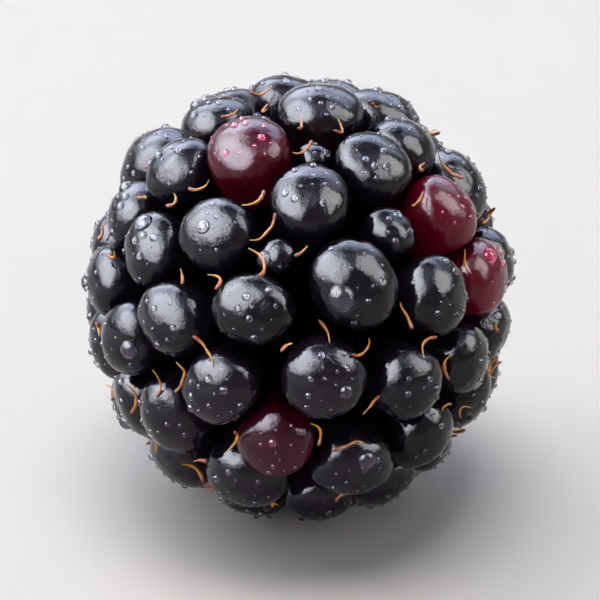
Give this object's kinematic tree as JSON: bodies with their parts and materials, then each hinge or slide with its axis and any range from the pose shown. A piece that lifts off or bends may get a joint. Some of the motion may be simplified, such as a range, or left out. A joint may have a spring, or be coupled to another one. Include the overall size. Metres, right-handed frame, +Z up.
{
  "type": "bramble berry",
  "caption": "Ripe bramble berry as picked: glossy near-black drupelets round a pale receptacle, lying on its side.",
  "frame": {"origin": "on the surface that the berry lies on, below the middle of its box", "axes": "+Z up, -Y the way the tip points, +Y the stem end's way, +X to the right as seen from the tip"},
  "size_m": [0.0238, 0.0269, 0.0235],
  "materials": {
    "drupelet_skin": "thin glossy skin, purple-black when ripe",
    "ripening_skin": "thin glossy skin, wine red where it ripens last",
    "receptacle_flesh": "pale, fibrous, slightly moist",
    "dried_style": "dry orange-brown hairs",
    "water": "clear beads of rinse water"
  },
  "bodies": {
    "root": {"berry": "drupelet_skin"}
  },
  "joints": []
}
